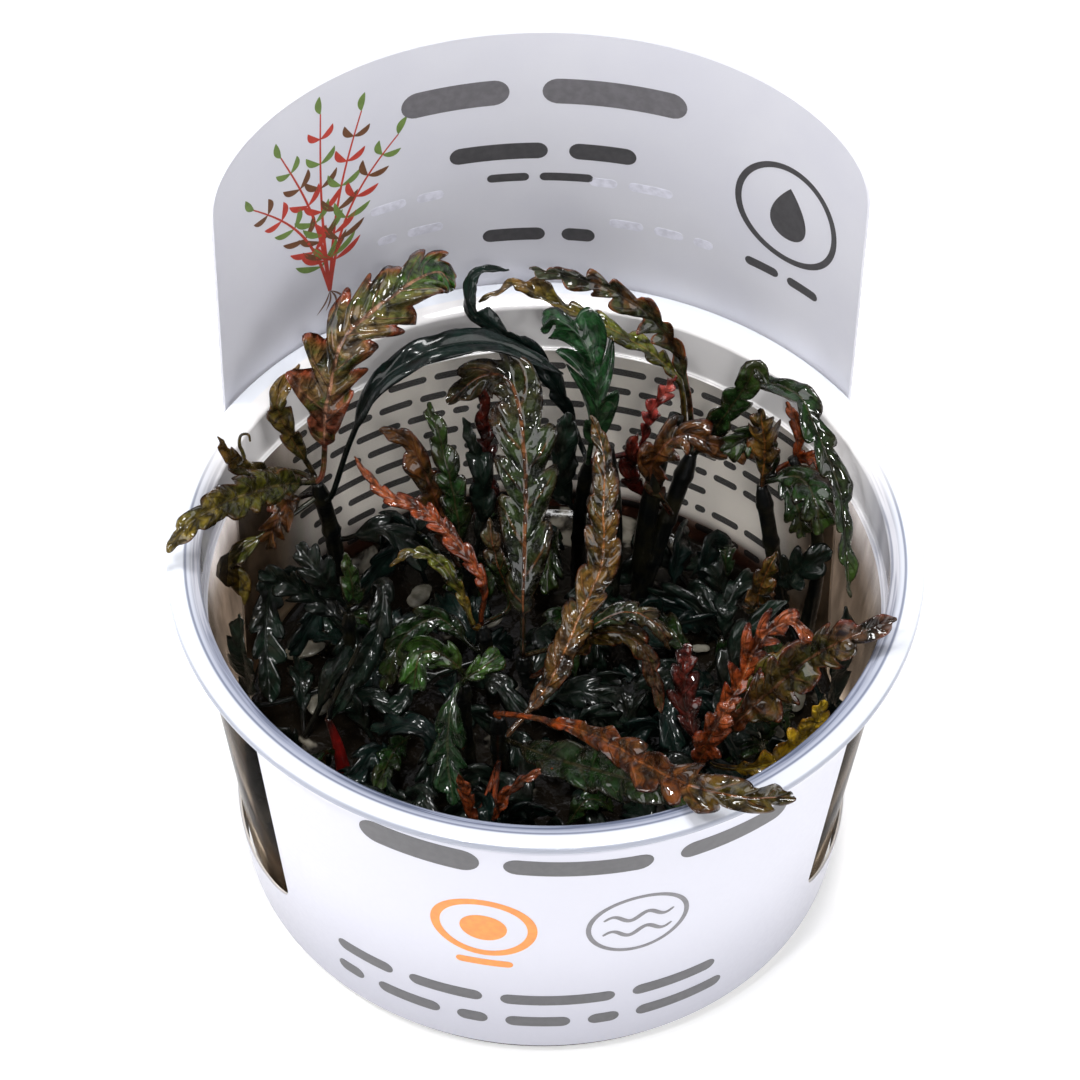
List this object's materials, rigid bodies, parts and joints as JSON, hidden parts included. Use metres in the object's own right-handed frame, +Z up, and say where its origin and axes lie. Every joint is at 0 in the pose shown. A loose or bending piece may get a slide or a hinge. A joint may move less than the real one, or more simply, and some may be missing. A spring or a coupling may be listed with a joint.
{
  "type": "tissue culture cup of an aquarium plant with lobed leaves",
  "caption": "Round clear tub with a wide flat rim and a wrap label that stands up as a tall curved card behind it, full of lobed, dark, wet-looking water plants on growth gel.",
  "frame": {"origin": "middle of the cup's underside", "axes": "+Z up along the cup, -Y towards the front of the label, +Y towards the tall card, +X to the right"},
  "size_m": [0.1046, 0.1048, 0.106],
  "materials": {
    "cup": "translucent moulded plastic, clear wall with a frosted rim",
    "label": "smooth printed film, satin",
    "gel": "clear jelly-like growth medium, wet",
    "stem": "wet, near black",
    "leaf_deep": "wet leaf, glossy",
    "leaf_green": "wet leaf, glossy",
    "leaf_fresh": "wet leaf, glossy",
    "leaf_lime": "wet leaf, glossy",
    "leaf_olive": "wet leaf, glossy",
    "leaf_bronze": "wet leaf, glossy",
    "leaf_amber": "wet leaf, glossy",
    "leaf_orange": "wet leaf, glossy",
    "leaf_yellow": "wet leaf, glossy",
    "leaf_red": "wet leaf, glossy"
  },
  "bodies": {
    "root": {"cup": "cup", "label": "label", "gel": "gel", "stem_left": "stem", "leaf_left_1": "leaf_bronze", "leaf_left_2": "leaf_olive", "leaf_left_3": "leaf_lime", "leaf_left_4": "leaf_bronze", "leaf_left_5": "leaf_olive", "leaf_left_6": "leaf_deep", "leaf_left_7": "leaf_deep", "stem_low_left": "stem", "leaf_low_left_1": "leaf_deep", "leaf_low_left_2": "leaf_deep", "leaf_low_left_3": "leaf_deep", "leaf_low_left_4": "leaf_green", "leaf_low_left_5": "leaf_deep", "stem_mid_left": "stem", "leaf_mid_left_1": "leaf_orange", "leaf_mid_left_2": "leaf_yellow", "leaf_mid_left_3": "leaf_green", "stem_mid_back": "stem", "leaf_mid_back_1": "leaf_red", "leaf_mid_back_2": "leaf_bronze", "leaf_mid_back_3": "leaf_green", "leaf_mid_back_4": "leaf_deep", "stem_back": "stem", "leaf_back_1": "leaf_deep", "leaf_back_2": "leaf_green", "leaf_back_3": "leaf_green", "stem_centre": "stem", "leaf_centre_1": "leaf_green", "leaf_centre_2": "leaf_bronze", "leaf_centre_3": "leaf_deep", "stem_front_left": "stem", "leaf_front_left_1": "leaf_fresh", "leaf_front_left_2": "leaf_fresh", "stem_front": "stem", "leaf_front_1": "leaf_orange", "leaf_front_2": "leaf_green", "leaf_front_3": "leaf_amber", "stem_right": "stem", "leaf_right_1": "leaf_olive", "leaf_right_2": "leaf_lime", "leaf_right_3": "leaf_green", "leaf_right_4": "leaf_green", "leaf_right_5": "leaf_bronze", "stem_far_right": "stem", "leaf_far_right_1": "leaf_amber", "leaf_far_right_2": "leaf_green", "leaf_far_right_3": "leaf_green", "leaf_far_right_4": "leaf_deep", "leaf_far_right_5": "leaf_amber", "stem_front_right": "stem", "leaf_front_right_1": "leaf_bronze", "leaf_front_right_2": "leaf_orange", "leaf_front_right_3": "leaf_yellow", "leaf_front_right_4": "leaf_deep", "leaf_front_right_5": "leaf_red"}
  },
  "joints": []
}
